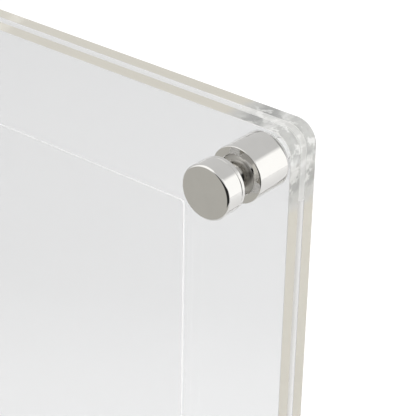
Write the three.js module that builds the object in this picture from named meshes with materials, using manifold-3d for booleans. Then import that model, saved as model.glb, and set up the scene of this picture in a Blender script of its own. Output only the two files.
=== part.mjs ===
// A clear acrylic photo frame for the wall. Two equal sheets with a clear print sleeve between them are
// held at each corner by one set of polished hardware: a low cap screw from the front, and behind it a
// barrel with a hanger screw whose neck and head form the groove that hangs on a wall hook.
// Millimetres. +Z is up, the front faces -Y, and the hanger heads touch the wall at Y = 0.

import * as THREE from "three";
import { mergeVertices } from "three/addons/utils/BufferGeometryUtils.js";
import Module from "manifold-3d";

const wasm = await Module();
wasm.setup();

// The print, and the sleeve that holds it.
const printWidth = 203.2;
const printHeight = 254;
const sleeveSeam = 1;
const filmThickness = 0.5;
const pocketDepth = 0.7;
const sleeveTopRoom = 1;

// The two sheets.
const sheetThickness = 3.3;
const sheetCornerRadius = 4.8;
const sheetEdgeBevel = 0.2;
const sideBorder = 28.4;
const topBorder = 25;
const sleeveClearance = 0.1;

// Where each post stands, measured in from the sheets' edges.
const postInsetX = 6.2;
const postInsetZ = 6.5;

// The barrel and the soft ring under it.
const barrelDiameter = 12;
const barrelLength = 8.6;
const barrelEndChamfer = 0.25;
const barrelFootChamfer = 0.15;
const gasketThickness = 0.5;
const recessDiameter = 8.4;
const recessDepth = 0.8;

// The hanger screw and its collar.
const grooveWidth = 4.3;
const neckDiameter = 6;
const collarDiameter = 11.3;
const collarThickness = 1;
const collarEdge = 0.3;
const headDiameter = 11.5;
const headThickness = 4.2;
const headFaceChamfer = 0.4;
const headBackChamfer = 0.15;

// The thread that both screws share in the barrel, and the cap screw.
const threadDiameter = 4;
const threadClearance = 0.1;
const threadEndGap = 0.4;
const threadEndChamfer = 0.4;
const capEngagement = 4;
const capDiameter = 8;
const capThickness = 1.5;
const capEdgeRadius = 0.5;
const capWasherThickness = 0.4;
const socketAcrossFlats = 2.5;
const socketDepth = 1.8;

// The clear pad that fills the gap at each corner, flush with the sheets' edges.
const spacerReach = 15.5;
const spacerInnerRadius = 3;

// Running fits: round the neck, and round the screws in the sheets, rings and pads.
const neckClearance = 0.2;
const holeClearance = 0.3;

// How finely round shapes are cut.
const turnedSides = 36;
const ringSides = 32;
const cornerSteps = 6;

// Sizes that follow from the ones above.
const sleeveThickness = pocketDepth + 2 * filmThickness;
const sleeveWidth = printWidth + 2 * sleeveSeam;
const sleeveHeight = printHeight + sleeveSeam + sleeveTopRoom;
const sleeveCornerRadius = sleeveSeam;
const sheetWidth = sleeveWidth + 2 * sideBorder;
const sheetHeight = sleeveHeight + 2 * topBorder;
const sheetGap = sleeveThickness + 2 * sleeveClearance;
const threadRadius = threadDiameter / 2;
const boreRadius = threadRadius + threadClearance;
const holeRadius = threadRadius + holeClearance;
const hangerEngagement = barrelLength - recessDepth - capEngagement - threadEndGap;

// Places along Y, from the wall towards the viewer.
const wallFace = 0;
const headBack = wallFace - headThickness;
const grooveStart = headBack - collarThickness;
const barrelEnd = grooveStart - grooveWidth;
const recessFloor = barrelEnd - recessDepth;
const barrelFoot = barrelEnd - barrelLength;
const rearSheetBack = barrelFoot - gasketThickness;
const rearSheetFront = rearSheetBack - sheetThickness;
const frontSheetBack = rearSheetFront - sheetGap;
const frontSheetFront = frontSheetBack - sheetThickness;
const capSeat = frontSheetFront - capWasherThickness;
const capTop = capSeat - capThickness;

const acrylic = new THREE.MeshStandardMaterial({
  color: 0xf3f4f0,
  roughness: 0.05,
  metalness: 0,
  transparent: true,
  opacity: 0.3,
});
const sleeveFilm = new THREE.MeshStandardMaterial({
  color: 0xf6f7f7,
  roughness: 0.12,
  metalness: 0,
  transparent: true,
  opacity: 0.35,
});
const nickel = new THREE.MeshStandardMaterial({ color: 0xd3d1cc, roughness: 0.1, metalness: 1 });
const clearPlastic = new THREE.MeshStandardMaterial({
  color: 0xe9ebe8,
  roughness: 0.25,
  metalness: 0,
  transparent: true,
  opacity: 0.6,
});

// A closed solid for cutting, with only its merged corner points.
function solidOf(geometry) {
  const bare = geometry.clone();
  bare.deleteAttribute("normal");
  bare.deleteAttribute("uv");
  const merged = mergeVertices(bare, 1e-4);
  const data = { numProp: 3 };
  data.vertProperties = merged.attributes.position.array;
  data.triVerts = new Uint32Array(merged.index.array);
  return new wasm.Manifold(new wasm.Mesh(data));
}

function geometryOf(solid) {
  const cut = solid.getMesh();
  const geometry = new THREE.BufferGeometry();
  geometry.setAttribute("position", new THREE.BufferAttribute(cut.vertProperties, 3));
  geometry.setIndex(new THREE.BufferAttribute(cut.triVerts, 1));
  geometry.computeVertexNormals();
  return geometry;
}

// A piece turned about the Y axis from pairs of radius and place along Y, listed from the wall forwards.
function turned(pairs, sides) {
  const profile = pairs.map(([radius, y]) => new THREE.Vector2(radius, y));
  return new THREE.LatheGeometry(profile.reverse(), sides);
}

// A flat ring with both faces square to Y.
function ring(outerRadius, innerRadius, back, front, edge) {
  return turned(
    [
      [innerRadius, back],
      [outerRadius - edge, back],
      [outerRadius, back - edge],
      [outerRadius, front + edge],
      [outerRadius - edge, front],
      [innerRadius, front],
      [innerRadius, back],
    ],
    ringSides,
  );
}

function roundedRectangle(width, height, radius) {
  const shape = new THREE.Shape();
  const x = width / 2 - radius;
  const y = height / 2 - radius;
  shape.absarc(x, y, radius, 0, Math.PI / 2);
  shape.absarc(-x, y, radius, Math.PI / 2, Math.PI);
  shape.absarc(-x, -y, radius, Math.PI, 1.5 * Math.PI);
  shape.absarc(x, -y, radius, 1.5 * Math.PI, 2 * Math.PI);
  return shape;
}

function roundHole(x, y, radius) {
  const hole = new THREE.Path();
  hole.absarc(x, y, radius, 0, Math.PI);
  hole.absarc(x, y, radius, Math.PI, 2 * Math.PI);
  return hole;
}

// The four posts, named as seen from the front.
const postX = sheetWidth / 2 - postInsetX;
const postZ = sheetHeight / 2 - postInsetZ;
const posts = [
  { name: "top_left", x: -postX, z: postZ },
  { name: "top_right", x: postX, z: postZ },
  { name: "bottom_left", x: -postX, z: -postZ },
  { name: "bottom_right", x: postX, z: -postZ },
];

// A sheet with rounded corners, polished edges and a clearance hole at each post.
function sheetGeometry() {
  const outline = roundedRectangle(sheetWidth, sheetHeight, sheetCornerRadius);
  for (const post of posts) {
    outline.holes.push(roundHole(post.x, post.z, holeRadius));
  }
  const sheet = new THREE.ExtrudeGeometry(outline, {
    depth: sheetThickness - 2 * sheetEdgeBevel,
    curveSegments: cornerSteps,
    bevelEnabled: true,
    bevelThickness: sheetEdgeBevel,
    bevelSize: sheetEdgeBevel,
    bevelOffset: -sheetEdgeBevel,
    bevelSegments: 1,
  });
  sheet.translate(0, 0, sheetEdgeBevel);
  return sheet.rotateX(Math.PI / 2);
}

// A flat clear piece, cut to an outline and laid square to Y.
function flatGeometry(outline, thickness) {
  const flat = new THREE.ExtrudeGeometry(outline, {
    depth: thickness,
    curveSegments: cornerSteps,
    bevelEnabled: false,
  });
  return flat.rotateX(Math.PI / 2);
}

function filmGeometry() {
  return flatGeometry(roundedRectangle(sleeveWidth, sleeveHeight, sleeveCornerRadius), filmThickness);
}

// The strip that joins both films along the bottom, with their corners.
function bottomStripGeometry() {
  const outline = new THREE.Shape();
  const edge = sleeveWidth / 2;
  const bottom = -sleeveHeight / 2;
  const radius = sleeveCornerRadius;
  outline.moveTo(edge, bottom + sleeveSeam);
  outline.lineTo(-edge, bottom + sleeveSeam);
  outline.absarc(radius - edge, bottom + radius, radius, Math.PI, 1.5 * Math.PI);
  outline.absarc(edge - radius, bottom + radius, radius, 1.5 * Math.PI, 2 * Math.PI);
  return flatGeometry(outline, pocketDepth);
}

// The strip down one side of the sleeve: side is 1 for the right and -1 for the left, seen from the
// front. The pocket stays open at the top.
function sideStripGeometry(side) {
  const outline = new THREE.Shape();
  const edge = sleeveWidth / 2;
  const top = sleeveHeight / 2;
  const radius = sleeveCornerRadius;
  const outward = side > 0 ? 0 : Math.PI;
  outline.moveTo(side * (edge - sleeveSeam), top);
  outline.lineTo(side * (edge - sleeveSeam), sleeveSeam - top);
  outline.lineTo(side * edge, sleeveSeam - top);
  outline.absarc(side * (edge - radius), top - radius, radius, outward, Math.PI / 2, side < 0);
  return flatGeometry(outline, pocketDepth);
}

// The barrel: its thread runs through, and a recess at the wall end takes the neck.
function barrelGeometry() {
  const radius = barrelDiameter / 2;
  const recess = recessDiameter / 2;
  return turned(
    [
      [boreRadius, recessFloor],
      [recess, recessFloor],
      [recess, barrelEnd],
      [radius - barrelEndChamfer, barrelEnd],
      [radius, barrelEnd - barrelEndChamfer],
      [radius, barrelFoot + barrelFootChamfer],
      [radius - barrelFootChamfer, barrelFoot],
      [boreRadius, barrelFoot],
      [boreRadius, recessFloor],
    ],
    turnedSides,
  );
}

// The hanger screw: a flat head for the wall, the neck that hangs, and the thread.
function hangerGeometry() {
  const head = headDiameter / 2;
  const neck = neckDiameter / 2;
  const threadEnd = recessFloor - hangerEngagement;
  return turned(
    [
      [0, wallFace],
      [head - headFaceChamfer, wallFace],
      [head, wallFace - headFaceChamfer],
      [head, headBack + headBackChamfer],
      [head - headBackChamfer, headBack],
      [neck, headBack],
      [neck, recessFloor],
      [threadRadius, recessFloor],
      [threadRadius, threadEnd + threadEndChamfer],
      [threadRadius - threadEndChamfer, threadEnd],
      [0, threadEnd],
    ],
    turnedSides,
  );
}

// The cap screw: a low head with a rounded rim and a hexagon socket, and a shank through both sheets.
function capScrewGeometry() {
  const head = capDiameter / 2;
  const shankEnd = barrelFoot + capEngagement;
  const rim = [];
  const rimSteps = 3;
  for (let step = 0; step <= rimSteps; step += 1) {
    const angle = (step / rimSteps) * (Math.PI / 2);
    const radius = head - capEdgeRadius + capEdgeRadius * Math.cos(angle);
    rim.push([radius, capTop + capEdgeRadius - capEdgeRadius * Math.sin(angle)]);
  }
  const body = turned(
    [
      [0, shankEnd],
      [threadRadius - threadEndChamfer, shankEnd],
      [threadRadius, shankEnd - threadEndChamfer],
      [threadRadius, capSeat],
      [head, capSeat],
      ...rim,
      [0, capTop],
    ],
    turnedSides,
  );
  const socketRadius = socketAcrossFlats / Math.sqrt(3);
  const socket = new THREE.CylinderGeometry(socketRadius, socketRadius, 2 * socketDepth, 6);
  socket.translate(0, capTop, 0);
  return geometryOf(solidOf(body).subtract(solidOf(socket)));
}

function gasketGeometry() {
  return ring(barrelDiameter / 2, holeRadius, barrelFoot, rearSheetBack, 0);
}

// The pad at one post: it follows the sheets' rounded corner outside and is square with a round inside.
function spacerGeometry(post) {
  const corner = new THREE.Shape();
  const edgeX = sheetWidth / 2;
  const edgeZ = sheetHeight / 2;
  const outer = sheetCornerRadius;
  const inner = spacerInnerRadius;
  corner.moveTo(edgeX - spacerReach, edgeZ);
  corner.absarc(edgeX - outer, edgeZ - outer, outer, Math.PI / 2, 0, true);
  corner.lineTo(edgeX, edgeZ - spacerReach);
  const innerX = edgeX - spacerReach + inner;
  const innerZ = edgeZ - spacerReach + inner;
  corner.absarc(innerX, innerZ, inner, 1.5 * Math.PI, Math.PI, true);
  const toSide = Math.sign(post.x);
  const toTop = Math.sign(post.z);
  const points = corner.getPoints(cornerSteps).map((point) => {
    return new THREE.Vector2(toSide * point.x, toTop * point.y);
  });
  const outline = new THREE.Shape(points);
  outline.holes.push(roundHole(post.x, post.z, holeRadius));
  return flatGeometry(outline, sheetGap);
}

function capWasherGeometry() {
  return ring(capDiameter / 2, holeRadius, frontSheetFront, capSeat, 0);
}

function collarGeometry() {
  const inner = neckDiameter / 2 + neckClearance;
  return ring(collarDiameter / 2, inner, headBack, grooveStart, collarEdge);
}

function piece(name, geometry, material) {
  const mesh = new THREE.Mesh(geometry, material.clone());
  mesh.name = name;
  return mesh;
}

const frame = new THREE.Group();

const rearSheet = piece("rear_sheet", sheetGeometry(), acrylic);
rearSheet.position.y = rearSheetBack;
frame.add(rearSheet);

const frontSheet = piece("front_sheet", sheetGeometry(), acrylic);
frontSheet.position.y = frontSheetBack;
frame.add(frontSheet);

// The sleeve, from the back film forwards.
const backFilm = piece("sleeve_back_film", filmGeometry(), sleeveFilm);
const bottomStrip = piece("sleeve_bottom_strip", bottomStripGeometry(), sleeveFilm);
const rightStrip = piece("sleeve_right_strip", sideStripGeometry(1), sleeveFilm);
const leftStrip = piece("sleeve_left_strip", sideStripGeometry(-1), sleeveFilm);
const frontFilm = piece("sleeve_front_film", filmGeometry(), sleeveFilm);
bottomStrip.position.y = -filmThickness;
rightStrip.position.y = -filmThickness;
leftStrip.position.y = -filmThickness;
frontFilm.position.y = -filmThickness - pocketDepth;
const sleeve = new THREE.Group();
sleeve.position.y = rearSheetFront - sleeveClearance;
sleeve.add(backFilm, bottomStrip, rightStrip, leftStrip, frontFilm);
frame.add(sleeve);

for (const post of posts) {
  const spacer = piece("spacer_" + post.name, spacerGeometry(post), clearPlastic);
  spacer.position.y = rearSheetFront;
  frame.add(spacer);
  const set = new THREE.Group();
  set.position.set(post.x, 0, post.z);
  set.add(piece("cap_screw_" + post.name, capScrewGeometry(), nickel));
  set.add(piece("cap_washer_" + post.name, capWasherGeometry(), clearPlastic));
  set.add(piece("gasket_" + post.name, gasketGeometry(), clearPlastic));
  set.add(piece("barrel_" + post.name, barrelGeometry(), nickel));
  set.add(piece("hanger_collar_" + post.name, collarGeometry(), nickel));
  set.add(piece("hanger_screw_" + post.name, hangerGeometry(), nickel));
  frame.add(set);
}

export default frame;
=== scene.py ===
"""Clear photo frame for the wall: the finish of its sheets, its print sleeve and its polished corner posts.

Every piece stands in the CAD model's own frame, in metres. The sizes that a user may change are in the
property groups, one operator makes each group of like pieces, and the sidebar panel lists them.
"""

import math

import bmesh
import bpy
from bpy.props import FloatProperty, FloatVectorProperty, IntProperty, PointerProperty
from mathutils import Matrix, Vector


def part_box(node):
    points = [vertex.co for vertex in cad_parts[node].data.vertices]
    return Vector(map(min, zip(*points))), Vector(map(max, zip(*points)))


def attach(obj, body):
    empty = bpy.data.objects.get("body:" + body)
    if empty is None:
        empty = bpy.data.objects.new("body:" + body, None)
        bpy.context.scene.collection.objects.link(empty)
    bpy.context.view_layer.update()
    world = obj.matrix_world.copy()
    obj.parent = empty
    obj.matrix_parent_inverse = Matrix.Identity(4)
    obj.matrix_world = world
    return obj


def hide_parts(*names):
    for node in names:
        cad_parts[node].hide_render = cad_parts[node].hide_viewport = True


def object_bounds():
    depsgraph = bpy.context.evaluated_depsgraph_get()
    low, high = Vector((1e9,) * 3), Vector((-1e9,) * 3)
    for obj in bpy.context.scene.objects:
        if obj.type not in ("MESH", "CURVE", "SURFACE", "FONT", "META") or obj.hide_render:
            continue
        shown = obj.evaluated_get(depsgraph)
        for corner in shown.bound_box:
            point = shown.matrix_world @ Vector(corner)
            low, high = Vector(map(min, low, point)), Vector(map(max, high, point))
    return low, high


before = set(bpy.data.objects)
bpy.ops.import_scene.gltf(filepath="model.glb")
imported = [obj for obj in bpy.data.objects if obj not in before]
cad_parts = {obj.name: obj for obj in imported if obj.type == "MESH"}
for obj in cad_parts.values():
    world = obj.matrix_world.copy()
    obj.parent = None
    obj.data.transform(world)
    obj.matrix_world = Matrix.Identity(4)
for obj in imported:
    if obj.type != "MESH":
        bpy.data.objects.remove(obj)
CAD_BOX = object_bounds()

bl_info = {
    "name": "Clear Photo Frame",
    "version": (1, 0, 0),
    "blender": (4, 5, 0),
    "location": "3D View > Sidebar > Photo Frame",
    "description": "Makes the sheets, sleeve, posts and studio of a clear wall-hung photo frame",
    "category": "Add Mesh",
}

MM = 0.001
# The hair of air between a plastic ring or pad and the sheet that it rests on.
AIR = Vector((0, 0.02 * MM, 0))
ACRYLIC_IOR = 1.49
FILM_IOR = 1.45
RING_IOR = 1.43
WHITE = (1, 1, 1, 1)
# Points that are closer than this are merged.
MERGE = 0.001 * MM
# The part of a face's normal along Y past which it is a broad face, and past which it is a chamfer.
BROAD = 0.9
SLOPED = 0.5
# Faces whose middle is closer than this to a post's axis are the wall of its drilled hole.
HOLE_REACH = 3 * MM
CORNERS = ("top_left", "top_right", "bottom_left", "bottom_right")
SLEEVE_NODES = tuple(
    "sleeve_" + part for part in ("back_film", "bottom_strip", "right_strip", "left_strip", "front_film")
)


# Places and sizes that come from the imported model.


def width_of(node):
    low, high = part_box(node)
    return high.x - low.x


def post_place(corner):
    low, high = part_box("barrel_" + corner)
    return Vector(((low.x + high.x) / 2, 0, (low.z + high.z) / 2))


def back_and_front(node):
    """Where a node starts and ends along Y, from the wall forwards."""
    low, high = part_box(node)
    return high.y, low.y


BARREL_BACK, BARREL_FOOT = back_and_front("barrel_top_left")
WALL_FACE, HANGER_END = back_and_front("hanger_screw_top_left")
COLLAR_BACK, COLLAR_FRONT = back_and_front("hanger_collar_top_left")
SCREW_END, CAP_TOP = back_and_front("cap_screw_top_left")
WASHER_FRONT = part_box("cap_washer_top_left")[0].y
TOP_OF_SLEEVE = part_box("sleeve_back_film")[1].z
BARREL_RADIUS = width_of("barrel_top_left") / 2
HEAD_RADIUS = width_of("hanger_screw_top_left") / 2
COLLAR_RADIUS = width_of("hanger_collar_top_left") / 2
CAP_RADIUS = width_of("cap_screw_top_left") / 2


# The kinds of setting.


def metres(name, about, size, least=0.0):
    return FloatProperty(
        name=name, description=about, default=size, min=least, precision=5, subtype="DISTANCE", unit="LENGTH"
    )


def colour(name, about, tint):
    return FloatVectorProperty(name=name, description=about, default=tint, min=0, max=1, subtype="COLOR")


def angle(name, about, degrees):
    return FloatProperty(
        name=name, description=about, default=math.radians(degrees), subtype="ANGLE", unit="ROTATION"
    )


def brightness(name, about, share):
    return FloatProperty(name=name, description=about, default=share, min=0, max=1)


def count(name, about, number, least, most):
    return IntProperty(name=name, description=about, default=number, min=least, max=most)


class SheetSettings(bpy.types.PropertyGroup):
    """The two clear sheets and the pads between them."""

    corner_radius: metres("Corner radius", "Radius of the sheets' four corners", 4.8 * MM)
    edge_chamfer: metres("Edge chamfer", "Width of the polished chamfer along the edges", 0.1 * MM)
    hole_radius: metres("Hole radius", "Radius of the drilled hole at each post", 2.3 * MM)
    corner_segments: count("Corner segments", "How many flats make a corner", 18, 4, 64)
    pad_inner_radius: metres("Pad inner radius", "Radius of the pads' inner corner", 3 * MM)
    body_tint: colour("Body tint", "Tint of the clear acrylic through one sheet", (0.950, 0.952, 0.955))
    # Painted light: the even warm colour of the edges stands in for the light that gathers in them.
    painted_edge_light: colour("Edge tint", "Tone of the light that gathers in the edges", (0.714, 0.683, 0.60))
    # Painted shade: the darker, warm colour of the border on the front sheet's face towards the gap.
    painted_border_shade: colour("Border tint", "Tint of the borders that face the gap", (0.53, 0.51, 0.465))
    hole_tint: colour("Hole tint", "Tone of the drilled walls", (0.93, 0.93, 0.92))
    # Painted glow of the drilled walls, an emission in place of the sheet's light.
    painted_hole_glow: brightness("Hole glow", "Light that comes out of the drilled walls", 0.4)


class SleeveSettings(bpy.types.PropertyGroup):
    """The clear print sleeve."""

    weld_width: metres("Weld width", "Width of the welded seam round three sides", 1 * MM)
    film_thickness: metres("Film thickness", "Thickness of each of the two films", 0.5 * MM)
    film_tint: colour("Film tint", "Tint of the clear film", (1.0, 1.0, 1.0))
    weld_tint: colour("Weld tint", "Tone of the cut edge of the film", (0.96, 0.96, 0.96))
    # Painted glow of the film's cut edges, an emission in place of the light that runs along the film.
    painted_side_glow: brightness("Side glow", "Light that comes out of the film's upright cut edges", 0.42)
    painted_top_glow: brightness("Top glow", "Light that comes out of the film's top edge", 0.31)


class PostSettings(bpy.types.PropertyGroup):
    """The barrel, hanger screw, collar and cap screw of each corner, and its plastic rings."""

    turned_sides: count("Turned sides", "Flats round the turned pieces", 112, 24, 256)
    rim_rounding: metres("Rim rounding", "Rounding of the barrel's rims", 0.22 * MM)
    head_rounding: metres("Head rounding", "Radius of the hanger head's eased rim at the wall", 0.64 * MM)
    neck_radius: metres("Neck radius", "Radius of the neck in the hanging groove", 3 * MM)
    recess_radius: metres("Recess radius", "Radius of the recess in the barrel's end", 4.2 * MM)
    recess_depth: metres("Recess depth", "Depth of the recess in the barrel's end", 0.8 * MM)
    bore_radius: metres("Bore radius", "Radius of the barrel's threaded bore", 2.1 * MM)
    thread_radius: metres("Thread radius", "Outer radius of both screws' thread", 2 * MM)
    thread_pitch: metres("Thread pitch", "Travel of a screw in one turn", 0.7 * MM, least=0.1 * MM)
    thread_depth: metres("Thread depth", "Depth of the thread", 0.4 * MM)
    socket_width: metres("Socket width", "Hexagon socket of the cap screws, across flats", 2.5 * MM)
    socket_depth: metres("Socket depth", "Depth of the hexagon socket", 1.8 * MM)
    nickel: colour("Nickel", "Colour of the polished nickel plate", (0.72, 0.71, 0.69))
    steel: colour("Thread steel", "Colour of the screws' threads", (0.56, 0.55, 0.53))
    recess_tint: colour("Recess tint", "Colour of the barrel's dull recess and bore", (0.756, 0.7425, 0.7155))
    ring_tint: colour("Ring tint", "Tone of the plastic rings", (0.94, 0.94, 0.93))


class StudioSettings(bpy.types.PropertyGroup):
    """The floor and the camera."""

    camera_place: FloatVectorProperty(
        name="Camera place",
        description="Where the camera stands",
        default=(-0.28388, 0.19771, 0.28700),
        subtype="XYZ",
        unit="LENGTH",
        precision=5,
    )
    camera_azimuth: angle("Azimuth", "Which way the camera looks, turned about Z from +Y", 218.675)
    camera_elevation: angle("Elevation", "How far down the camera looks", 29.519)
    camera_roll: angle("Roll", "How far the camera is turned about its own axis", 1.104)
    camera_lens: FloatProperty(
        name="Lens", description="Focal length on a 36 mm sensor", default=133.63, subtype="DISTANCE_CAMERA"
    )
    floor_tone: colour("Floor tone", "Colour of the plain floor", (0.9, 0.9, 0.9))


# Small modelling helpers.


def deselect():
    bpy.ops.object.select_all(action="DESELECT")


def select_only(piece):
    deselect()
    piece.select_set(True)
    bpy.context.view_layer.objects.active = piece


def edit(piece, selected="SELECT"):
    """Opens a piece in edit mode, with all of it or none of it selected."""
    select_only(piece)
    bpy.ops.object.mode_set(mode="EDIT")
    bpy.ops.mesh.select_all(action=selected)


def leave_edit():
    bpy.ops.object.mode_set(mode="OBJECT")


def applied(name):
    """Names the object just made and keeps its place, turn and scale in its points."""
    bpy.ops.object.transform_apply(location=True, rotation=True, scale=True)
    bpy.context.object.name = name
    return bpy.context.object


def finish_modifier(piece, kind, **settings):
    select_only(piece)
    modifier = piece.modifiers.new(kind.capitalize(), kind)
    for name, value in settings.items():
        setattr(modifier, name, value)
    bpy.ops.object.modifier_apply(modifier=modifier.name)


def chamfer(piece, width, segments=1):
    """Takes the sharpness off every edge that turns by more than a radian."""
    finish_modifier(piece, "BEVEL", width=width, segments=segments, limit_method="ANGLE", angle_limit=1.0)


def cut_with(piece, cutter, operation="DIFFERENCE"):
    """Cuts one piece with another, or joins both, and removes the second."""
    finish_modifier(piece, "BOOLEAN", operation=operation, solver="EXACT", object=cutter)
    bpy.data.objects.remove(cutter)


def cutting_rod(place, radius, length, sides=72):
    """A plain rod along Y, to cut with."""
    deselect()
    bpy.ops.mesh.primitive_cylinder_add(
        vertices=sides, radius=radius, depth=length, location=place, rotation=(math.pi / 2, 0, 0)
    )
    return applied("cutting_rod")


def drill(piece, place, front, back, radius):
    """Drills a hole along Y through a piece."""
    middle = (place.x, (front + back) / 2, place.z)
    cut_with(piece, cutting_rod(middle, radius, 3 * (back - front)))


def smooth(piece, degrees=15):
    select_only(piece)
    bpy.ops.object.shade_smooth_by_angle(angle=math.radians(degrees))


def block(name, low, high):
    deselect()
    bpy.ops.mesh.primitive_cube_add(size=1, location=(low + high) / 2, scale=high - low)
    return applied(name)


def round_upright_corners(piece, radius, segments, wanted=lambda edge: True):
    """Rounds the edges of a block that run along Y."""
    edit(piece, "DESELECT")
    bpy.ops.mesh.select_mode(type="EDGE")
    mesh = bmesh.from_edit_mesh(piece.data)
    for edge in mesh.edges:
        run = edge.verts[0].co - edge.verts[1].co
        if abs(run.y) > 0.99 * run.length and wanted(edge):
            edge.select_set(True)
    bmesh.update_edit_mesh(piece.data)
    bpy.ops.mesh.bevel(offset=radius, segments=segments, profile=0.5, affect="EDGES")
    leave_edit()


def turn(name, rings, sides, closed=False):
    """A piece turned about the Y axis, drawn out ring by ring from pairs of radius and place along Y."""
    radius, place = rings[0]
    deselect()
    bpy.ops.mesh.primitive_circle_add(
        vertices=sides, radius=radius, location=(0, place, 0), rotation=(math.pi / 2, 0, 0)
    )
    piece = applied(name)
    edit(piece)
    for (before, start), (after, end) in zip(rings, rings[1:]):
        bpy.ops.mesh.extrude_region_move(TRANSFORM_OT_translate={"value": (0, end - start, 0)})
        growth = after / before
        bpy.ops.transform.resize(value=(growth, 1, growth), center_override=(0, end, 0))
    bpy.ops.mesh.select_all(action="SELECT")
    if closed:
        bpy.ops.mesh.remove_doubles(threshold=MERGE)
    else:
        bpy.ops.mesh.fill_holes(sides=0)
    bpy.ops.mesh.normals_make_consistent(inside=False)
    leave_edit()
    return piece


def rounded_rim(radius, place, rounding, turned_in, steps=5, turns_from=0, turns_to=90):
    """Rings that round a rim: turned_in is 1 where the rim starts at the wall side and -1 where it ends.

    The rounding turns from one angle to another, in degrees from the flat face. A narrow ring on either side
    of it keeps the reflections on the flat and straight faces true.
    """
    guard = 0.02 * MM
    first, last = math.radians(turns_from), math.radians(turns_to)
    rings = []
    for step in range(steps + 1):
        turned = first + (last - first) * step / steps
        out = radius - rounding * (math.sin(last) - math.sin(turned))
        along = place - turned_in * rounding * (math.cos(first) - math.cos(turned))
        rings.append((out, along))
    rings.insert(0, (rings[0][0] - guard, place))
    rings.append((radius, rings[-1][1] - turned_in * guard))
    return rings if turned_in > 0 else rings[::-1]


def flat_ring(name, inner, outer, back, front, rounding, sides, steps=5):
    """A ring with a plain hole and both of its outer rims rounded."""
    rings = [
        (inner, back),
        *rounded_rim(outer, back, rounding, 1, steps),
        *rounded_rim(outer, front, rounding, -1, steps),
        (inner, front),
        (inner, back),
    ]
    return turn(name, rings, sides, closed=True)


def thread_profile(name, settings, start):
    """One turn's outline of the thread, from a place along Y forwards."""
    crest = settings.thread_radius
    root = crest - settings.thread_depth
    pitch = settings.thread_pitch
    profile = ((root, 0), (root, 0.2), (crest, 0.45), (crest, 0.6), (root, 0.85), (root, 1))
    deselect()
    bpy.ops.mesh.primitive_plane_add(size=pitch)
    piece = applied(name)
    edit(piece)
    bpy.ops.mesh.delete(type="FACE")
    leave_edit()
    outline = bmesh.new()
    points = [outline.verts.new((radius, start - share * pitch, 0)) for radius, share in profile]
    for one, other in zip(points, points[1:]):
        outline.edges.new((one, other))
    outline.to_mesh(piece.data)
    outline.free()
    return piece


def thread(name, settings, back, front):
    """A screw thread between two places along Y, one profile wound round and trimmed square at both ends."""
    pitch = settings.thread_pitch
    flats = 28
    piece = thread_profile(name, settings, back + pitch)
    finish_modifier(
        piece,
        "SCREW",
        axis="Y",
        angle=2 * math.pi,
        screw_offset=-pitch,
        iterations=math.ceil((back - front) / pitch) + 2,
        steps=flats,
        render_steps=flats,
        use_merge_vertices=False,
        use_smooth_shade=False,
    )
    edit(piece)
    bpy.ops.mesh.remove_doubles(threshold=2 * MERGE)
    for place, outward in ((back, (0, 1, 0)), (front, (0, -1, 0))):
        bpy.ops.mesh.select_all(action="SELECT")
        bpy.ops.mesh.bisect(
            plane_co=(0, place, 0), plane_no=outward, use_fill=True, clear_outer=True, threshold=0.1 * MERGE
        )
    bpy.ops.mesh.select_all(action="SELECT")
    bpy.ops.mesh.normals_make_consistent(inside=False)
    leave_edit()
    return piece


def remember_turning(piece):
    """Keeps each point's place about its own axis, which the turned finish reads."""
    attribute = piece.data.attributes.new("turning", "FLOAT_VECTOR", "POINT")
    flat = [value for vertex in piece.data.vertices for value in vertex.co]
    attribute.data.foreach_set("vector", flat)


def dress(piece, *finishes, which=None):
    """Gives a piece its finishes; which tells the number of a face's finish."""
    for finish in finishes:
        piece.data.materials.append(finish)
    if which:
        for face in piece.data.polygons:
            face.material_index = which(face)


def set_in_frame(piece, body, slot, *nodes):
    """Says which body a piece rides on and which nodes it stands for, whose CAD parts it hides; the finish
    slot is not used.
    """
    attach(piece, body)
    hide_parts(*nodes)


def copied(model, name, **changes):
    """Copies a model with its own mesh; the changes to the copy's object are kept in its points."""
    select_only(model)
    bpy.ops.object.duplicate(linked=False)
    for change, value in changes.items():
        setattr(bpy.context.object, change, value)
    return applied(name)


def set_at_corners(model, name, node, slot, body=None, turn_step=0.0):
    """Copies the model to the four posts, each copy with its own mesh, and removes the model.

    Each copy rides on its own node's body, unless a body is given.
    """
    for index, corner in enumerate(CORNERS):
        turned = (0, index * turn_step, 0)
        copy = copied(model, name + "_" + corner, rotation_euler=turned, location=post_place(corner))
        set_in_frame(copy, body or node + "_" + corner, slot, node + "_" + corner)
    bpy.data.objects.remove(model)


def set_turned(piece, name, node, body=None, turn_step=0.0):
    """Finishes a turned piece of nickel and sets a copy of it at each post."""
    remember_turning(piece)
    smooth(piece, degrees=20)
    set_at_corners(piece, name, node, "polished_nickel", body, turn_step)


# Materials.


def opaque(tone):
    """A plain colour for a socket; a colour that comes from nodes stays as it is."""
    return tone if isinstance(tone, bpy.types.NodeSocket) else (*tone, 1)


def toned(tint, share):
    """A tint made darker, or lighter where the share is over 1."""
    return tuple(part * share for part in tint)


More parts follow.
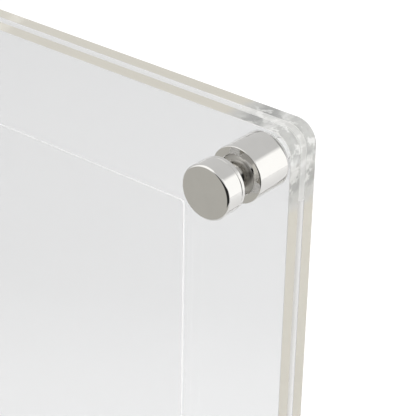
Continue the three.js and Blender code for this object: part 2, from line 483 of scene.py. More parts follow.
class Tree:
    """A short way to make nodes: an input is fed with a number, a colour or another node's output."""

    def __init__(self, owner):
        self.owner = owner
        owner.use_nodes = True
        owner.node_tree.nodes.clear()

    def node(self, kind, inputs=None, **settings):
        node = self.owner.node_tree.nodes.new(kind)
        for name, value in settings.items():
            setattr(node, name, value)
        for name, value in (inputs or {}).items():
            if isinstance(value, bpy.types.NodeSocket):
                self.owner.node_tree.links.new(value, node.inputs[name])
            else:
                node.inputs[name].default_value = value
        return node

    def add(self, kind, inputs=None, output=0, **settings):
        """Adds a node and gives one of its outputs."""
        return self.node(kind, inputs, **settings).outputs[output]

    def finish(self, shader, output="ShaderNodeOutputMaterial"):
        self.node(output, {"Surface": shader})
        return self.owner

    def place(self):
        return self.add("ShaderNodeTexCoord", output="Object")

    def rays(self):
        return self.node("ShaderNodeLightPath").outputs

    def noise(self, vector, scale, detail=3.0, roughness=0.55):
        inputs = {"Vector": vector, "Scale": scale, "Detail": detail, "Roughness": roughness}
        return self.add("ShaderNodeTexNoise", inputs, "Fac")

    def spread(self, value, low, high, to_low, to_high):
        """Maps a value from one range to another and stops at its ends."""
        inputs = {"Value": value, "From Min": low, "From Max": high, "To Min": to_low, "To Max": to_high}
        return self.add("ShaderNodeMapRange", inputs, "Result")

    def vary(self, noise, low, high):
        """Spreads a noise over a range; most of it lies between 0.3 and 0.7."""
        return self.spread(noise, 0.3, 0.7, low, high)

    def stretched(self, vector, scale):
        return self.add("ShaderNodeMapping", {"Vector": vector, "Scale": scale}, "Vector")

    def bump(self, height, strength, distance):
        inputs = {"Height": height, "Strength": strength, "Distance": distance}
        return self.add("ShaderNodeBump", inputs, "Normal")

    def maths(self, operation, *values):
        return self.add("ShaderNodeMath", dict(enumerate(values)), operation=operation)

    def parts(self, vector):
        return self.node("ShaderNodeSeparateXYZ", {0: vector}).outputs

    def together(self, x, y):
        return self.add("ShaderNodeCombineXYZ", {"X": x, "Y": y})

    def length(self, one, other):
        """The length of a flat vector with these two parts."""
        return self.add("ShaderNodeVectorMath", {0: self.together(one, other)}, "Value", operation="LENGTH")

    def in_from(self, place, x, z):
        """How far in a point is from the upright lines at -x and x, and from the level lines at -z and z."""
        parts = self.parts(place)
        outs = (self.maths("ABSOLUTE", parts[axis]) for axis in ("X", "Z"))
        return [self.maths("MULTIPLY_ADD", out, -1, line) for out, line in zip(outs, (x, z))]

    def ramp(self, value, low, high, steps):
        """A colour that changes along a value, from pairs of value and colour."""
        node = self.node("ShaderNodeValToRGB", {0: self.spread(value, low, high, 0, 1)})
        points = node.color_ramp.elements
        while len(points) < len(steps):
            points.new(0.5)
        for point, (at, tone) in zip(points, steps):
            point.position = (at - low) / (high - low)
            point.color = (*tone, 1)
        return node.outputs["Color"]

    def mix(self, share, one, other, **settings):
        """Two colours mixed, each a plain one or one that comes from nodes.

        A Mix node has its colours in the inputs 6 and 7 and gives the mixed one at its output 2.
        """
        inputs = {0: share, 6: opaque(one), 7: opaque(other)}
        return self.add("ShaderNodeMix", inputs, 2, data_type="RGBA", **settings)

    def either(self, share, one, other):
        """One shader where share is 0, and the other where it is 1."""
        return self.add("ShaderNodeMixShader", {0: share, 1: one, 2: other})

    def skin(self, noise, smoothest, roughest, strength, depth):
        """The roughness and the bumps of a surface, both from one noise."""
        return {
            "Roughness": self.vary(noise, smoothest, roughest),
            "Normal": self.bump(noise, strength, depth),
        }

    def surface(self, inputs, passed=None):
        """Ends in a surface; with a passed tint, lamps shine through it, so that its shadow is light."""
        shader = self.add("ShaderNodeBsdfPrincipled", inputs)
        if passed:
            clear = self.add("ShaderNodeBsdfTransparent", {"Color": opaque(passed)})
            shader = self.either(self.rays()["Is Shadow Ray"], shader, clear)
        return self.finish(shader)


def material_tree(name):
    return Tree(bpy.data.materials.new(name))


def acrylic_face(settings):
    """The broad polished faces: clear, with faint wipe marks and a trace of waviness.

    Close to its edges, the front sheet's face towards the gap has a painted shade: a darker, warm border in
    its colour.
    """
    tree = material_tree("clear_acrylic_face")
    place = tree.place()
    wipe = tree.noise(tree.stretched(place, (1, 1, 0.35)), 60, detail=4)
    inputs = {
        "IOR": ACRYLIC_IOR,
        "Transmission Weight": 1.0,
        "Base Color": tree.mix(front_sheet_painted_shade(tree, place), settings.body_tint, settings.painted_border_shade),
        "Roughness": tree.spread(wipe, 0.5, 0.8, 0, 0.03),
        "Normal": tree.bump(tree.noise(place, 9, detail=1), 0.02, 0.6 * MM),
    }
    return tree.surface(inputs, toned(settings.body_tint, 0.96))


def front_sheet_painted_shade(tree, place):
    """How much painted shade the front sheet's face towards the gap gets close to the edges: most at the
    upright ones.
    """
    high = CAD_BOX[1]
    face, _ = back_and_front("front_sheet")
    from_face = tree.maths("ABSOLUTE", tree.maths("SUBTRACT", tree.parts(place)["Y"], face))
    shares = []
    for in_from, strength in zip(tree.in_from(place, high[0], high[2]), (1, 0.35)):
        near = tree.spread(in_from, 0, 1.2 * MM, 0.1, strength)
        far = tree.spread(in_from, 1.7 * MM, 2.7 * MM, 1, 0)
        shares.append(tree.maths("MULTIPLY", near, far))
    either = tree.maths("MAXIMUM", *shares)
    return tree.maths("MULTIPLY", either, tree.spread(from_face, 0.2 * MM, 0.5 * MM, 1, 0))


def painted_edge_tone(tree, place, tint):
    """The painted light along an edge: even and warm, and broken up next to a post by a painted reflection of
    its metal.

    It is worked out from how far along the edge a point is from the post's line, towards the middle.
    """
    post = post_place("top_right")
    along = tree.maths("MAXIMUM", *tree.in_from(place, post.x, post.z))
    wander = tree.vary(tree.noise(place, 260), -0.8 * MM, 0.8 * MM)
    # Painted reflection of the post's metal: bright and dark bands close to the post's line, then the edges'
    # painted light.
    steps = (
        (-6 * MM, (0.59, 0.59, 0.57)),
        (-1.5 * MM, (0.52, 0.52, 0.50)),
        (0.7 * MM, (0.98, 0.98, 0.96)),
        (1.9 * MM, (0.68, 0.68, 0.66)),
        (3.2 * MM, (0.50, 0.505, 0.49)),
        (5.4 * MM, (0.50, 0.505, 0.49)),
        (7 * MM, (0.69, 0.69, 0.67)),
        (9 * MM, (0.71, 0.705, 0.68)),
        (11 * MM, tint),
    )
    tone = tree.ramp(tree.maths("ADD", along, wander), -7 * MM, 12 * MM, steps)
    # Painted glints and painted dark reflections in spots close to the post.
    blotch = tree.noise(place, 430)
    near = tree.spread(along, 6.5 * MM, 8.5 * MM, 1, 0)
    painted_glints = tree.maths("MULTIPLY", near, tree.spread(blotch, 0.54, 0.62, 0, 0.8))
    painted_dark_spots = tree.maths("MULTIPLY", near, tree.spread(blotch, 0.38, 0.46, 0.55, 0))
    tone = tree.mix(painted_glints, tone, (0.96, 0.96, 0.94))
    return tree.mix(painted_dark_spots, tone, (0.44, 0.445, 0.43)), along


def acrylic_edge(settings):
    """The polished edges, with the light that gathers in them painted as an even warm tone."""
    tree = material_tree("clear_acrylic_edge")
    place = tree.place()
    cloud = tree.noise(tree.stretched(place, (1, 0.4, 1)), 45, detail=2)
    veil = tree.mix(tree.vary(cloud, 0, 1), (0.96, 0.96, 0.96), (1, 1, 1))
    fine = tree.noise(tree.stretched(place, (0.25, 6, 0.25)), 900)
    tone, along = painted_edge_tone(tree, place, settings.painted_edge_light)
    inputs = {
        "IOR": ACRYLIC_IOR,
        "Transmission Weight": tree.spread(along, 8 * MM, 11 * MM, 0.35, 0.2),
        "Base Color": tree.mix(1.0, tone, veil, blend_type="MULTIPLY"),
        **tree.skin(fine, 0.02, 0.09, 0.04, 0.02 * MM),
    }
    return tree.surface(inputs, toned(settings.body_tint, 0.9))


def pad_edge(settings):
    """The outer edges of the corner pads, with the same painted light and painted reflection of the post as
    the sheets' edges beside them.
    """
    tree = material_tree("clear_pad_edge")
    place = tree.place()
    fine = tree.noise(tree.stretched(place, (0.4, 3, 0.4)), 700)
    tone, _ = painted_edge_tone(tree, place, (0.71, 0.705, 0.68))
    inputs = {
        "IOR": ACRYLIC_IOR,
        "Transmission Weight": 0.3,
        "Base Color": tree.mix(tree.vary(fine, 0.45, 0.6), tone, (0.78, 0.775, 0.75)),
        **tree.skin(fine, 0.08, 0.2, 0.05, 0.02 * MM),
    }
    return tree.surface(inputs, toned(settings.body_tint, 0.9))


def pad_face():
    """The pads' faces against the sheets: almost nothing shows where clear plastic rests on acrylic."""
    tree = material_tree("clear_pad_face")
    wet = tree.noise(tree.place(), 90)
    inputs = {
        "IOR": ACRYLIC_IOR,
        "Alpha": 0.012,
        "Base Color": tree.mix(wet, (0.9, 0.9, 0.9), (0.95, 0.95, 0.95)),
        **tree.skin(wet, 0.1, 0.25, 0.05, 0.1 * MM),
    }
    return tree.surface(inputs)


def acrylic_chamfer(settings):
    """The narrow polished chamfers, whose pale colour is a painted highlight: a light line on both sides of
    an edge.
    """
    tree = material_tree("polished_acrylic_chamfer")
    fine = tree.noise(tree.place(), 650)
    inputs = {
        "IOR": ACRYLIC_IOR,
        "Transmission Weight": 0.25,
        "Base Color": tree.mix(tree.vary(fine, 0, 1), (0.91, 0.90, 0.88), (0.96, 0.95, 0.93)),
        **tree.skin(fine, 0.08, 0.2, 0.05, 0.02 * MM),
    }
    return tree.surface(inputs, toned(settings.body_tint, 0.9))


def drilled_wall(settings):
    """The walls of the drilled holes, matt from the drill, with a painted glow: an emission in place of the
    sheet's light that comes out there.
    """
    tree = material_tree("drilled_acrylic")
    rings = tree.noise(tree.stretched(tree.place(), (0.2, 8, 0.2)), 1500)
    inputs = {
        "IOR": ACRYLIC_IOR,
        "Transmission Weight": 0.1,
        "Base Color": opaque(settings.hole_tint),
        "Emission Color": WHITE,
        "Emission Strength": settings.painted_hole_glow,
        **tree.skin(rings, 0.22, 0.4, 0.3, 0.03 * MM),
    }
    return tree.surface(inputs, toned(settings.body_tint, 0.8))


def sleeve_film(settings):
    """Thin clear film: nearly invisible, with a faint haze and gloss."""
    tree = material_tree("clear_sleeve_film")
    ripple = tree.noise(tree.stretched(tree.place(), (1, 1, 0.5)), 22, detail=2)
    inputs = {
        "IOR": FILM_IOR,
        "Alpha": 0.015,
        "Base Color": tree.mix(ripple, toned(settings.film_tint, 0.94), settings.film_tint),
        **tree.skin(ripple, 0.05, 0.14, 0.08, 1 * MM),
    }
    return tree.surface(inputs)


def sleeve_weld(settings):
    """The cut edge of the sleeve's back film, with a painted glow: an emission in place of the light that
    runs along the film and comes out there.
    """
    tree = material_tree("welded_sleeve_edge")
    grain = tree.noise(tree.place(), 700, detail=4)
    parts = tree.parts(tree.place())
    across = tree.maths("ABSOLUTE", parts["X"])
    painted_top_glow = tree.spread(across, 80 * MM, 100 * MM, 0.75 * settings.painted_top_glow, settings.painted_top_glow)
    rim = (TOP_OF_SLEEVE - 1 * MM, TOP_OF_SLEEVE - 0.3 * MM)
    at_top = tree.spread(parts["Z"], *rim, 0, 1)
    painted_side_glow = tree.spread(parts["Z"], *rim, settings.painted_side_glow, 0)
    inputs = {
        "IOR": FILM_IOR,
        "Emission Color": WHITE,
        "Emission Strength": tree.maths("ADD", tree.maths("MULTIPLY", at_top, painted_top_glow), painted_side_glow),
        "Base Color": tree.mix(grain, toned(settings.weld_tint, 0.96), settings.weld_tint),
        **tree.skin(grain, 0.25, 0.45, 0.1, 0.03 * MM),
    }
    return tree.surface(inputs)


def turned_metal(name, tint, smoothest, roughest, mark_depth):
    """Turned and polished metal: fine rings from the lathe, faint wipe marks and a few hairline scratches."""
    tree = material_tree(name)
    axis = tree.add("ShaderNodeAttribute", output="Vector", attribute_name="turning")
    parts = tree.parts(axis)
    rings = tree.noise(tree.together(tree.length(parts["X"], parts["Z"]), parts["Y"]), 5200)
    wipe = tree.noise(axis, 260)
    scratch = tree.noise(tree.stretched(axis, (1, 7, 0.15)), 900, detail=2, roughness=0.7)
    dulled = tree.spread(wipe, 0.4, 0.75, smoothest, roughest)
    inputs = {
        "Metallic": 1.0,
        "Base Color": tree.mix(tree.spread(wipe, 0.35, 0.75, 0, 1), tint, toned(tint, 0.965)),
        "Roughness": tree.maths("ADD", dulled, tree.spread(scratch, 0.62, 0.7, 0, 0.05)),
        "Normal": tree.bump(rings, mark_depth, 0.004 * MM),
    }
    return tree.surface(inputs)


# The tint of each metal in the post settings, its least and most roughness and the depth of its marks.
METALS = {
    "polished_nickel_plate": ("nickel", 0.03, 0.085, 0.05),
    "dull_recess": ("recess_tint", 0.42, 0.6, 0.3),
    "bright_thread_steel": ("steel", 0.16, 0.3, 0.25),
}


def metal(name, settings):
    """One of the turned metals, made once and shared by like pieces."""
    tint, *marks = METALS[name]
    return bpy.data.materials.get(name) or turned_metal(name, getattr(settings, tint), *marks)


def ring_plastic(name, settings, clearness, glow):
    """Soft moulded plastic with a slightly cloudy skin; glow is a painted glow, an emission in place of the
    light that comes through it.
    """
    tree = material_tree(name)
    tint = settings.ring_tint
    cloud = tree.noise(tree.place(), 500)
    inputs = {
        "IOR": RING_IOR,
        "Transmission Weight": clearness,
        "Emission Color": WHITE,
        "Emission Strength": glow,
        "Base Color": tree.mix(tree.vary(cloud, 0, 1), toned(tint, 0.97), toned(tint, 1.03)),
        **tree.skin(cloud, 0.12, 0.28, 0.06, 0.04 * MM),
    }
    return tree.surface(inputs, toned(tint, 0.8))


# The pieces.


class PHOTOFRAME_OT_sheets(bpy.types.Operator):
    """Makes the rear and the front sheet with rounded corners, chamfered edges and drilled holes"""

    bl_idname = "photoframe.sheets"
    bl_label = "Clear sheets"

    def execute(self, context):
        settings = context.scene.photo_sheets
        makers = (acrylic_face, acrylic_edge, drilled_wall, acrylic_chamfer)
        finishes = [maker(settings) for maker in makers]
        for node, body in (("rear_sheet", "rear_panel"), ("front_sheet", "front_panel")):
            low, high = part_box(node)
            sheet = block("clear_" + node, low, high)
            round_upright_corners(sheet, settings.corner_radius, settings.corner_segments)
            for corner in CORNERS:
                drill(sheet, post_place(corner), low.y, high.y, settings.hole_radius)
            chamfer(sheet, settings.edge_chamfer)
            dress(sheet, *finishes, which=self.finish_number)
            smooth(sheet)
            set_in_frame(sheet, body, "acrylic", node)
        return {"FINISHED"}

    def finish_number(self, face):
        """Which finish a face gets: 0 broad faces, 1 edges, 2 holes and 3 chamfers."""
        if abs(face.normal.y) > BROAD:
            return 0
        if abs(face.normal.y) > SLOPED:
            return 3
        at_hole = any((face.center - post_place(corner)).xz.length < HOLE_REACH for corner in CORNERS)
        return 2 if at_hole else 1


class PHOTOFRAME_OT_corner_pads(bpy.types.Operator):
    """Makes the four clear pads that fill the gap at the corners"""

    bl_idname = "photoframe.corner_pads"
    bl_label = "Corner pads"

    def execute(self, context):
        settings = context.scene.photo_sheets
        low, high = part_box("spacer_top_right")
        pad = block("pad", low + AIR, high - AIR)
        middle = (low + high) / 2

        def outer(edge):
            end = edge.verts[0].co
            return end.x > middle.x and end.z > middle.z

        def inner(edge):
            end = edge.verts[0].co
            return end.x < middle.x and end.z < middle.z

        round_upright_corners(pad, settings.corner_radius, settings.corner_segments, outer)
        round_upright_corners(pad, settings.pad_inner_radius, segments=12, wanted=inner)
        drill(pad, post_place("top_right"), low.y, high.y, settings.hole_radius)
        chamfer(pad, width=0.03 * MM)
        hole = bpy.data.materials.get("drilled_acrylic") or drilled_wall(settings)
        dress(pad, pad_edge(settings), pad_face(), hole, which=self.finish_number)
        smooth(pad)
        for corner in CORNERS:
            self.set_at(pad, corner)
        bpy.data.objects.remove(pad)
        return {"FINISHED"}

    def finish_number(self, face):
        """Which finish a face gets: 0 outer edges, 1 the faces and inner edges and 2 the hole."""
        if abs(face.normal.y) > BROAD:
            return 1
        if (face.center - post_place("top_right")).xz.length < HOLE_REACH:
            return 2
        return 0 if face.normal.x > -0.01 and face.normal.z > -0.01 else 1

    def set_at(self, pad, corner):
        """Copies the pad to a corner, mirrored where it needs to be."""
        place = post_place(corner)
        sides = (math.copysign(1, place.x), 1, math.copysign(1, place.z))
        copy = copied(pad, "clear_pad_" + corner, scale=sides)
        edit(copy)
        bpy.ops.mesh.normals_make_consistent(inside=False)
        leave_edit()
        set_in_frame(copy, "rear_panel", "soft_clear_rings", "spacer_" + corner)


class PHOTOFRAME_OT_sleeve(bpy.types.Operator):
    """Makes the clear pocket that holds the print, welded round three sides and open at the top"""

    bl_idname = "photoframe.sleeve"
    bl_label = "Print sleeve"

    def execute(self, context):
        settings = context.scene.photo_sleeve
        boxes = [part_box(node) for node in SLEEVE_NODES]
        low = Vector(min(box[0][axis] for box in boxes) for axis in range(3))
        high = Vector(max(box[1][axis] for box in boxes) for axis in range(3))
        sleeve = block("clear_print_sleeve", low, high)
        round_upright_corners(sleeve, settings.weld_width, segments=6)
        inside = Vector((settings.weld_width, settings.film_thickness, settings.weld_width))
        above = Vector((0, 0, 10 * MM))
        cut_with(sleeve, block("pocket", low + inside, high - inside + above))
        chamfer(sleeve, width=0.05 * MM, segments=2)
        seam = high.y - settings.film_thickness
        edit(sleeve)
        bpy.ops.mesh.bisect(plane_co=(0, seam, 0), plane_no=(0, 1, 0))
        leave_edit()
        margin = 0.3 * MM

        def finish_number(face):
            """Which finish a face gets: 1 the outer edges of the back film and 0 all the rest."""
            middle = face.center
            inside_x = low.x + margin < middle.x < high.x - margin
            inside_z = low.z + margin < middle.z < high.z - margin
            broad = abs(face.normal.y) > BROAD
            return 0 if broad or (inside_x and inside_z) or middle.y < seam else 1

        dress(sleeve, sleeve_film(settings), sleeve_weld(settings), which=finish_number)
        smooth(sleeve)
        set_in_frame(sleeve, "sleeve", "sleeve_film", *SLEEVE_NODES)
        return {"FINISHED"}


class PHOTOFRAME_OT_barrels(bpy.types.Operator):
    """Makes the four polished barrels with their recess and bore"""

    bl_idname = "photoframe.barrels"
    bl_label = "Post barrels"

    def execute(self, context):
        settings = context.scene.photo_posts
        floor = BARREL_BACK - settings.recess_depth
        lip = 0.12 * MM
        rings = [
            (settings.bore_radius, floor),
            (settings.recess_radius, floor),
            (settings.recess_radius, BARREL_BACK - lip),
            (settings.recess_radius + lip, BARREL_BACK),
            *rounded_rim(BARREL_RADIUS, BARREL_BACK, settings.rim_rounding, 1),
            *rounded_rim(BARREL_RADIUS, BARREL_FOOT, 0.06 * MM, -1, steps=3),
            (settings.bore_radius, BARREL_FOOT),
            (settings.bore_radius, floor),
        ]

        def finish_number(face):
            """Which finish a face gets: 1 the recess and the bore and 0 all the rest."""
            within = face.center.xz.length < settings.recess_radius
            return 1 if within and face.center.y > BARREL_FOOT else 0

        barrel = turn("barrel", rings, settings.turned_sides, closed=True)
        finishes = [metal(kind, settings) for kind in ("polished_nickel_plate", "dull_recess")]
        dress(barrel, *finishes, which=finish_number)
        set_turned(barrel, "nickel_barrel", "barrel", body="rear_panel")
        return {"FINISHED"}


def screw_core(settings, end, start):
    """Rings of a screw's core, from its narrow tip to where it meets the wider part."""
    root = settings.thread_radius - settings.thread_depth
    radius, tip_radius = root - 0.05 * MM, root - 0.35 * MM
    tip_length = math.copysign(0.3 * MM, start - end)
    return [(tip_radius, end), (radius, end + tip_length), (radius, start)]


def screw_with_thread(name, settings, rings, end, start, inside):
    """A turned screw joined to its thread, with nickel on the turned part and steel on the thread.

    The thread stops short of the screw's end, and it starts a little way inside the wider part.
    """
    finishes = [metal(kind, settings) for kind in ("polished_nickel_plate", "bright_thread_steel")]
    screw = turn(name, rings, settings.turned_sides)
    dress(screw, *finishes)
    towards = math.copysign(1, start - end)
    short_of_end = 0.25 * MM
    front, back = sorted((end + towards * short_of_end, start + towards * inside))
    wound = thread(name + "_thread", settings, back, front)
    dress(wound, *finishes, which=lambda face: 1)
    cut_with(screw, wound, operation="UNION")
    return screw


class PHOTOFRAME_OT_hanger_screws(bpy.types.Operator):
    """Makes the four hanger screws: a flat head for the wall, the neck that hangs and the thread"""

    bl_idname = "photoframe.hanger_screws"
    bl_label = "Hanger screws"

    def execute(self, context):
        settings = context.scene.photo_posts
        shoulder = BARREL_BACK - settings.recess_depth
        neck = settings.neck_radius
        eased = 0.15 * MM
        centre = 0.6 * MM
        rings = [
            (centre, WALL_FACE),
            *rounded_rim(HEAD_RADIUS, WALL_FACE, settings.head_rounding, 1, 9, turns_from=15, turns_to=66),
            *rounded_rim(HEAD_RADIUS, COLLAR_BACK, 0.3 * MM, -1),
            (neck, COLLAR_BACK),
            (neck, shoulder + eased),
            (neck - eased, shoulder),
            *reversed(screw_core(settings, HANGER_END, shoulder)),
        ]
        screw = screw_with_thread("hanger", settings, rings, HANGER_END, shoulder, inside=0.3 * MM)
        set_turned(screw, "nickel_hanger", "hanger_screw", turn_step=0.9)
        return {"FINISHED"}


class PHOTOFRAME_OT_hanger_collars(bpy.types.Operator):
    """Makes the thin collar behind each hanger head"""

    bl_idname = "photoframe.hanger_collars"
    bl_label = "Hanger collars"

    def execute(self, context):
        settings = context.scene.photo_posts
        inner = settings.neck_radius + 0.2 * MM
        sizes = (inner, COLLAR_RADIUS, COLLAR_BACK, COLLAR_FRONT)
        collar = flat_ring("collar", *sizes, rounding=0.3 * MM, sides=settings.turned_sides)
        dress(collar, metal("polished_nickel_plate", settings))
        set_turned(collar, "nickel_collar", "hanger_collar")
        return {"FINISHED"}


class PHOTOFRAME_OT_cap_screws(bpy.types.Operator):
    """Makes the four low cap screws with a hexagon socket, and the thread that shows through the sheets"""

    bl_idname = "photoframe.cap_screws"
    bl_label = "Cap screws"

    def execute(self, context):
        settings = context.scene.photo_posts
        centre = 1.9 * MM
        rings = [
            *screw_core(settings, SCREW_END, WASHER_FRONT),
            *rounded_rim(CAP_RADIUS, WASHER_FRONT, 0.1 * MM, 1, steps=3),
            *rounded_rim(CAP_RADIUS, CAP_TOP, 0.55 * MM, -1, steps=9),
            (centre, CAP_TOP),
        ]
        screw = screw_with_thread("cap", settings, rings, SCREW_END, WASHER_FRONT, inside=0.2 * MM)
        socket_radius = settings.socket_width / math.sqrt(3)
        socket = cutting_rod((0, CAP_TOP, 0), socket_radius, 2 * settings.socket_depth, sides=6)
        cut_with(screw, socket)
        set_turned(screw, "nickel_cap", "cap_screw", turn_step=0.7)
        return {"FINISHED"}


class PHOTOFRAME_OT_clear_rings(bpy.types.Operator):
    """Makes the soft plastic rings under each barrel and under each cap screw"""

    bl_idname = "photoframe.clear_rings"
    bl_label = "Clear rings"

    def execute(self, context):
        self.make(context, "gasket", 0.3, 0, (0, AIR.y), "rear_panel")
        # The cap washers get a painted glow, an emission in place of light that comes through them.
        self.make(context, "cap_washer", 0.0, 0.35, (-AIR.y, 0), None)
        return {"FINISHED"}

    def make(self, context, kind, clearness, glow, moved, body):
        """Makes one ring at each post; moved is what its back and front give way to the air."""
        node = kind + "_top_left"
        back, front = (place + air for place, air in zip(back_and_front(node), moved))
        sizes = (context.scene.photo_sheets.hole_radius, width_of(node) / 2, back, front)
        rounding = min(0.15 * MM, (back - front) / 3)
        ring = flat_ring(kind, *sizes, rounding, sides=80, steps=3)
        dress(ring, ring_plastic("soft_" + kind, context.scene.photo_posts, clearness, glow))
        smooth(ring, degrees=40)
        set_at_corners(ring, "clear_" + kind, kind, "soft_clear_rings", body)


# The studio.


def hide_from(piece, *rays):
    for kind in rays:
        setattr(piece, "visible_" + kind, False)


def soft_border(tree, share):
    """How much of a card is there: all in the middle, and less and less in this share along its sides."""
    parts = tree.parts(tree.add("ShaderNodeTexCoord", output="UV"))
    in_from = [tree.maths("PINGPONG", parts[axis], 0.5) for axis in ("X", "Y")]
    return tree.spread(tree.maths("MINIMUM", *in_from), 0, share, 0, 1)


def card(name, place, facing, width, height, tone, fade=None, soft=0):
    """A plain card that only polished surfaces mirror; fade is a height, a height and the tone above it."""
    deselect()
    bpy.ops.mesh.primitive_plane_add(size=1)
    made = bpy.context.object
    made.scale = (width, height, 1)
    made.location = place
    made.rotation_euler = Vector(facing).to_track_quat("Z", "Y").to_euler()
    applied(name)
    tree = material_tree(name)
    if fade:
        *span, above = fade
        height = tree.parts(tree.place())["Z"]
        tone = tree.mix(tree.spread(height, *span, 0, 1), tone, above)
    shader = tree.add("ShaderNodeEmission", {"Color": opaque(tone), "Strength": 1.0})
    if soft:
        shader = tree.either(soft_border(tree, soft), tree.add("ShaderNodeBsdfTransparent"), shader)
    dress(made, tree.finish(shader))
    hide_from(made, "camera", "diffuse", "shadow", "transmission")


def upright_card(name, azimuth, spread, low, high, distance, tone, fade=None, soft=0):
    """A card that fills a span of directions as seen from the photographed post, in degrees.

    The azimuth is turned about Z from +Y towards -X, and low and high are heights above the horizon.
    Fade is the height from which the card's tone changes, and the tone at its top.
    """
    post = post_place("top_left")
    middle = math.radians(azimuth)
    outward = Vector((-math.sin(middle), math.cos(middle), 0))

    def height_at(degrees):
        return post.z + distance * math.tan(math.radians(degrees))

    bottom, top = height_at(low), height_at(high)
    place = post + distance * outward
    place.z = (bottom + top) / 2
    width = 2 * distance * math.tan(math.radians(spread / 2))
    if fade:
        fade = (height_at(fade[0]), top, fade[1])
    card(name, place, -outward, width, top - bottom, tone, fade, soft)


def softbox(name, place, target, width, height, radiance):
    lamp = bpy.data.lights.new(name, "AREA")
    lamp.shape = "RECTANGLE"
    lamp.size = width
    lamp.size_y = height
    lamp.energy = radiance * math.pi * width * height
    holder = bpy.data.objects.new(name, lamp)
    bpy.context.scene.collection.objects.link(holder)
    holder.location = place
    holder.rotation_euler = (Vector(target) - Vector(place)).to_track_quat("-Z", "Y").to_euler()
    hide_from(holder, "camera", "glossy", "transmission")


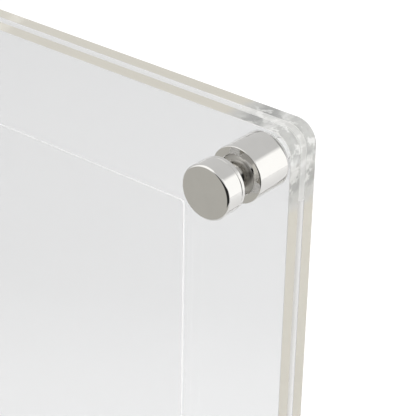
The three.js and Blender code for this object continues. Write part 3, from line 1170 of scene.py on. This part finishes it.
class PHOTOFRAME_OT_studio(bpy.types.Operator):
    """Sets the floor, the soft lamps, the cards and the camera"""

    bl_idname = "photoframe.studio"
    bl_label = "Studio"

    def execute(self, context):
        settings = context.scene.photo_studio
        self.floor(settings)
        self.world(context.scene)
        self.lamps()
        self.camera(context.scene, settings)
        self.light_paths(context.scene.cycles)
        context.scene.view_settings.view_transform = "Standard"
        return {"FINISHED"}

    def light_paths(self, cycles):
        """Light bounces many times between the polished faces before it leaves a clear sheet."""
        for kind in ("max", "glossy", "transmission", "transparent_max"):
            setattr(cycles, kind + "_bounces", 64)

    def floor(self, settings):
        """A pale floor that takes the shadow, with some light of its own where it is seen: evenly where the
        camera sees it, and where it is seen through the sheets a painted pool of light beneath the frame and
        painted brighter light far off.
        """
        deselect()
        bpy.ops.mesh.primitive_plane_add(size=8, location=(0, 0, CAD_BOX[0][2]))
        floor = applied("studio_floor")
        tree = material_tree("studio_floor")
        rays = tree.rays()
        parts = tree.parts(tree.place())
        reach = tree.length(parts["X"], parts["Y"])
        # Painted light where the floor is seen through the sheets: a pool beneath the frame and more light
        # far off.
        painted_light_pool = tree.spread(reach, 0.26, 0.36, 0.085, 0)
        far = tree.spread(reach, 1.0, 1.7, 0, 0.25)
        through = tree.maths("MULTIPLY", rays["Is Transmission Ray"], tree.maths("ADD", painted_light_pool, far))
        direct = tree.maths("MULTIPLY", rays["Is Camera Ray"], 0.25)
        lit = tree.add("ShaderNodeEmission", {"Strength": tree.maths("ADD", direct, through)})
        paint = tree.add("ShaderNodeBsdfDiffuse", {"Color": opaque(settings.floor_tone)})
        dress(floor, tree.finish(tree.add("ShaderNodeAddShader", {0: paint, 1: lit})))

    def world(self, scene):
        """White where it is seen straight or through the sheets, and a little less elsewhere."""
        scene.world = bpy.data.worlds.new("studio")
        tree = Tree(scene.world)
        rays = tree.rays()
        around, mirrored, seen = (
            tree.add("ShaderNodeBackground", {"Color": WHITE, "Strength": strength})
            for strength in (0.75, 0.74, 1.0)
        )
        straight = tree.maths("MAXIMUM", rays["Is Camera Ray"], rays["Is Transmission Ray"])
        unseen = tree.either(rays["Is Glossy Ray"], around, mirrored)
        tree.finish(tree.either(straight, unseen, seen), "ShaderNodeOutputWorld")

    def lamps(self):
        """Two softboxes light the frame, and plain cards in their places are what the metal mirrors."""
        target = post_place("top_left")
        softbox("window_softbox", (-0.75, -0.70, 0.42), target, 0.9, 0.8, 1.5)
        softbox("high_softbox", (0.25, 0.30, 1.15), target, 0.9, 0.9, 1.5)
        grey, white, black = (0.74, 0.74, 0.74), (1.37, 1.37, 1.36), (0.03, 0.03, 0.03)
        upright_card("window_card", 128, 76, -17.5, 37, 0.9, white, fade=(29, grey))
        upright_card("side_card", 78, 44, 10, 52, 0.9, white)
        upright_card("rear_card", -38, 60, -3, 58, 0.8, white)
        upright_card("dark_card", 29, 104, -43, 27, 0.32, black, soft=0.15)
        above_floor = CAD_BOX[0][2] + 1 * MM
        card("grey_floor_card", (0.9, 1.3, above_floor), (0, 0, 1), 2.6, 2.4, (0.56, 0.55, 0.515))

    def camera(self, scene, settings):
        data = bpy.data.cameras.new("photo_camera")
        data.lens = settings.camera_lens
        data.sensor_width = 36
        data.clip_start = 0.01
        camera = bpy.data.objects.new("photo_camera", data)
        scene.collection.objects.link(camera)
        around = Matrix.Rotation(settings.camera_azimuth, 4, "Z")
        tilt = Matrix.Rotation(math.pi / 2 - settings.camera_elevation, 4, "X")
        roll = Matrix.Rotation(settings.camera_roll, 4, "Z")
        camera.matrix_world = Matrix.Translation(settings.camera_place) @ around @ tilt @ roll
        scene.camera = camera


OPERATORS = (
    PHOTOFRAME_OT_sheets,
    PHOTOFRAME_OT_corner_pads,
    PHOTOFRAME_OT_sleeve,
    PHOTOFRAME_OT_barrels,
    PHOTOFRAME_OT_hanger_screws,
    PHOTOFRAME_OT_hanger_collars,
    PHOTOFRAME_OT_cap_screws,
    PHOTOFRAME_OT_clear_rings,
    PHOTOFRAME_OT_studio,
)
GROUPS = {
    "photo_sheets": SheetSettings,
    "photo_sleeve": SleeveSettings,
    "photo_posts": PostSettings,
    "photo_studio": StudioSettings,
}


class PHOTOFRAME_PT_sidebar(bpy.types.Panel):
    """Lists the frame's settings and the operators that make its pieces"""

    bl_idname = "PHOTOFRAME_PT_sidebar"
    bl_label = "Photo Frame"
    bl_space_type = "VIEW_3D"
    bl_region_type = "UI"
    bl_category = "Photo Frame"

    def draw(self, context):
        for group in GROUPS:
            settings = getattr(context.scene, group)
            column = self.layout.box().column()
            for name in settings.bl_rna.properties.keys():
                if name not in ("rna_type", "name"):
                    column.prop(settings, name)
        for operator in OPERATORS:
            self.layout.operator(operator.bl_idname)


def register():
    for name, group in GROUPS.items():
        bpy.utils.register_class(group)
        setattr(bpy.types.Scene, name, PointerProperty(type=group))
    for operator in OPERATORS:
        bpy.utils.register_class(operator)
    bpy.utils.register_class(PHOTOFRAME_PT_sidebar)


def unregister():
    bpy.utils.unregister_class(PHOTOFRAME_PT_sidebar)
    for operator in reversed(OPERATORS):
        bpy.utils.unregister_class(operator)
    for name, group in reversed(GROUPS.items()):
        delattr(bpy.types.Scene, name)
        bpy.utils.unregister_class(group)


def main():
    register()
    bpy.ops.photoframe.sheets()
    bpy.ops.photoframe.corner_pads()
    bpy.ops.photoframe.sleeve()
    bpy.ops.photoframe.barrels()
    bpy.ops.photoframe.hanger_screws()
    bpy.ops.photoframe.hanger_collars()
    bpy.ops.photoframe.cap_screws()
    bpy.ops.photoframe.clear_rings()
    bpy.ops.photoframe.studio()


if __name__ == "__main__":
    main()
